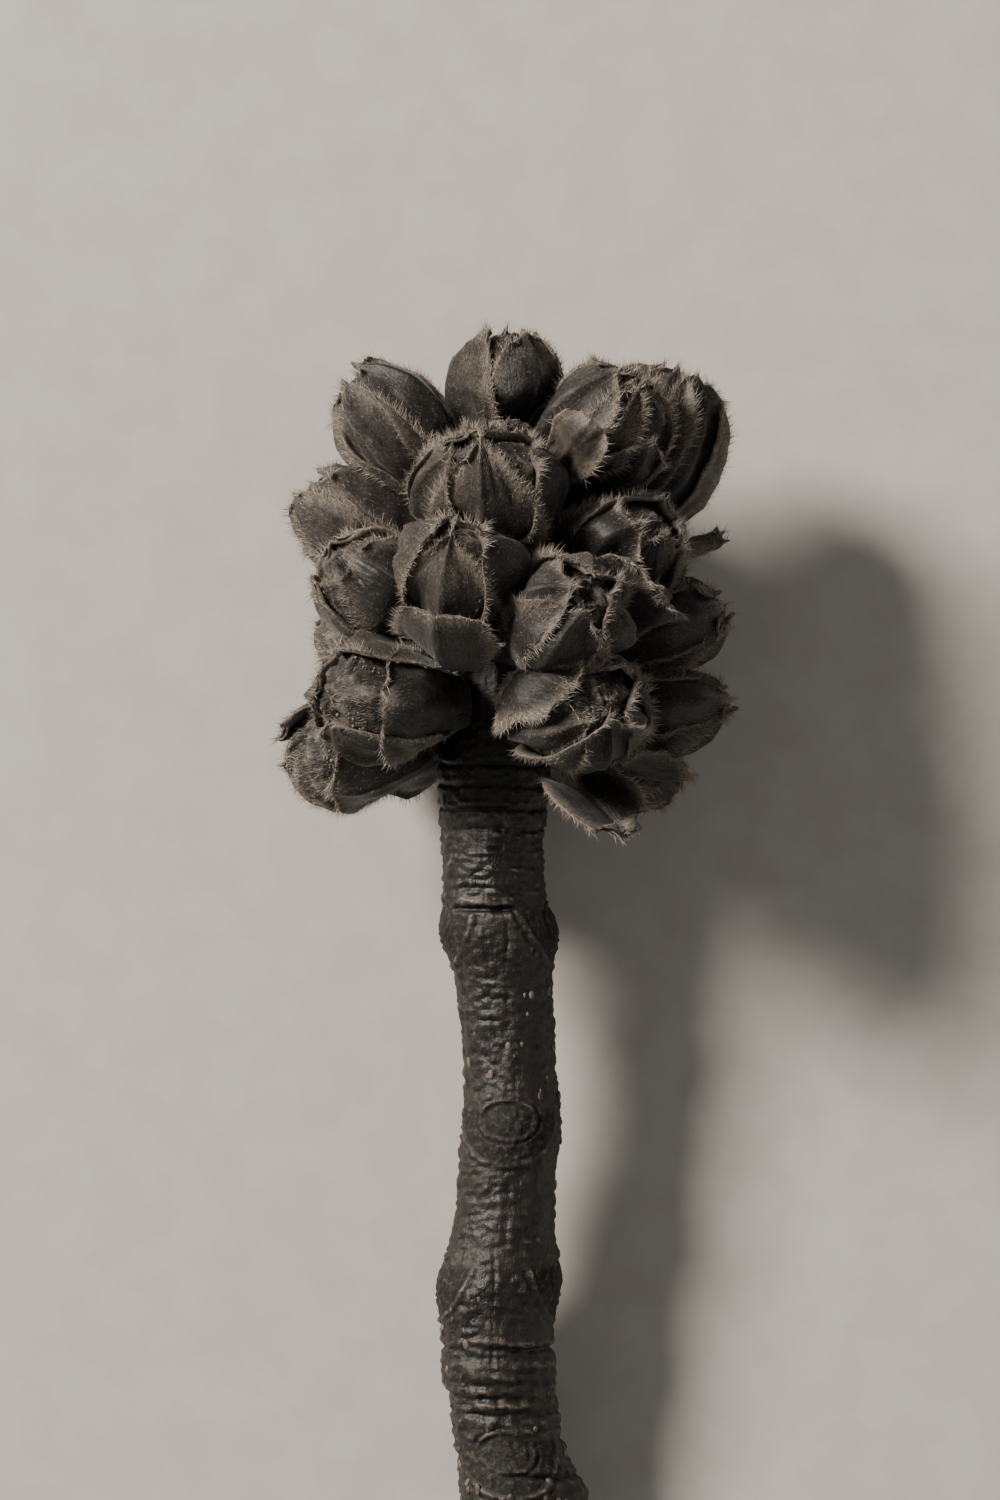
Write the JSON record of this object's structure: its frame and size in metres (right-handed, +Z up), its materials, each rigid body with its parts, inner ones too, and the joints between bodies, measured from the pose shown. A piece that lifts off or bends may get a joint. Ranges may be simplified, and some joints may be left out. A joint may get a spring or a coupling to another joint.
{
  "type": "maple twig end with flower buds",
  "caption": "End of a cut maple twig in winter with a crowded head of hairy, scaly flower buds, lying on a flat surface.",
  "frame": {"origin": "middle of the box round the object, on the surface it lies on", "axes": "+Y along the twig from its cut end towards the bud head, +Z up from the surface, +X to the right as seen from above with the head pointing away"},
  "size_m": [0.0152, 0.044, 0.0142],
  "materials": {
    "bark": "dark grey-brown young bark, low gloss, with growth rings, leaf scars and small pale pores",
    "bud_scale": "dark brown dry bud scales, matt, with paler margins",
    "dry_scale": "pale, papery, wrinkled dead scale, matt",
    "bud_hair": "short pale grey hairs on the scale margins and felt on the bud tips"
  },
  "bodies": {
    "root": {"bud_back_low": "bud_scale", "bud_back_low_left": "bud_scale", "bud_back_low_right": "bud_scale", "bud_back_middle": "bud_scale", "bud_back_middle_left": "bud_scale", "bud_back_middle_right": "bud_scale", "bud_back_top": "bud_scale", "bud_back_upper_left": "bud_scale", "bud_back_upper_right": "bud_scale", "bud_centre_front": "bud_scale", "bud_centre_right": "bud_scale", "bud_centre_upper": "bud_scale", "bud_left_back": "bud_scale", "bud_left_front": "bud_scale", "bud_left_upper": "bud_scale", "bud_low_left": "bud_scale", "bud_low_left_front": "bud_scale", "bud_low_right_front": "bud_scale", "bud_right_back": "bud_scale", "bud_right_front": "bud_scale", "bud_right_low": "bud_scale", "bud_right_lowest": "bud_scale", "bud_right_middle": "bud_scale", "bud_top_centre": "bud_scale", "bud_top_left": "bud_scale", "bud_top_right_back": "bud_scale", "bud_top_right_front": "bud_scale", "scale_below_centre_front": "bud_scale", "scale_below_right_front": "bud_scale", "scale_below_right_low": "bud_scale", "scale_front_of_top": "bud_scale", "scale_hanging_low_right": "bud_scale", "scale_stray_right": "dry_scale", "scale_torn_top_right": "dry_scale", "twig": "bark"}
  },
  "joints": []
}
